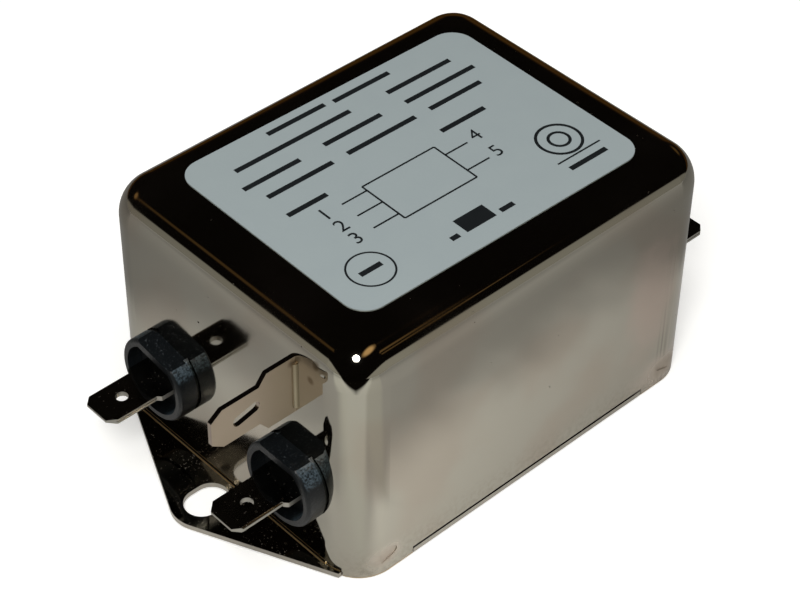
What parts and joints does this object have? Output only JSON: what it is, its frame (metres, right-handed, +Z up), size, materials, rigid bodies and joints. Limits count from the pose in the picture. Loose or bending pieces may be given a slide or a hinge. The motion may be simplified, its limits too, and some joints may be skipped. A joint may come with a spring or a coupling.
{
  "type": "emi line filter",
  "caption": "Mains interference filter in a drawn metal can on a slotted base plate, with quick-connect blades at both ends and an earth tab.",
  "frame": {"origin": "midway between the two mounting slots, on the underside of the base plate", "axes": "+X runs from the line end to the load end, +Y to the side away from the earth tab, +Z up from the base plate to the label"},
  "size_m": [0.0912, 0.0512, 0.0404],
  "materials": {
    "nickel_plated_can": "bright nickel plate on drawn steel, mirror-like",
    "nickel_plated_plate": "bright nickel plate on stamped steel, dusty",
    "printed_label": "matt silver-grey film with black print",
    "moulded_bush": "black moulded nylon, satin, dusty",
    "tinned_brass": "tin plated, slightly dull",
    "earth_tab_metal": "tin-plated steel",
    "solder": "bright solder",
    "liner_paper": "grey-buff insulating paper",
    "ferrite": "sintered ferrite, matt black",
    "core_case_plastic": "moulded nylon",
    "enamelled_copper": "enamelled copper wire",
    "x_capacitor_box": "moulded box, semi-gloss",
    "y_capacitor_coat": "dipped epoxy coat",
    "resistor_coat": "lacquer coat",
    "tinned_wire": "tinned copper wire",
    "potting_resin": "cast epoxy, dark"
  },
  "bodies": {
    "root": {"case": "nickel_plated_can", "base_plate": "nickel_plated_plate", "label": "printed_label", "line_bush_1": "moulded_bush", "line_bush_2": "moulded_bush", "load_bush_1": "moulded_bush", "load_bush_2": "moulded_bush", "line_blade_1": "tinned_brass", "line_blade_2": "tinned_brass", "load_blade_1": "tinned_brass", "load_blade_2": "tinned_brass", "earth_tab": "earth_tab_metal", "earth_solder": "solder", "insulating_liner": "liner_paper", "choke_core": "ferrite", "choke_core_case": "core_case_plastic", "choke_divider": "core_case_plastic", "choke_winding_1": "enamelled_copper", "choke_winding_2": "enamelled_copper", "x_capacitor_line": "x_capacitor_box", "x_capacitor_load": "x_capacitor_box", "y_capacitor_1": "y_capacitor_coat", "y_capacitor_2": "y_capacitor_coat", "bleed_resistor": "resistor_coat", "earth_wire": "tinned_wire", "potting": "potting_resin"}
  },
  "joints": []
}
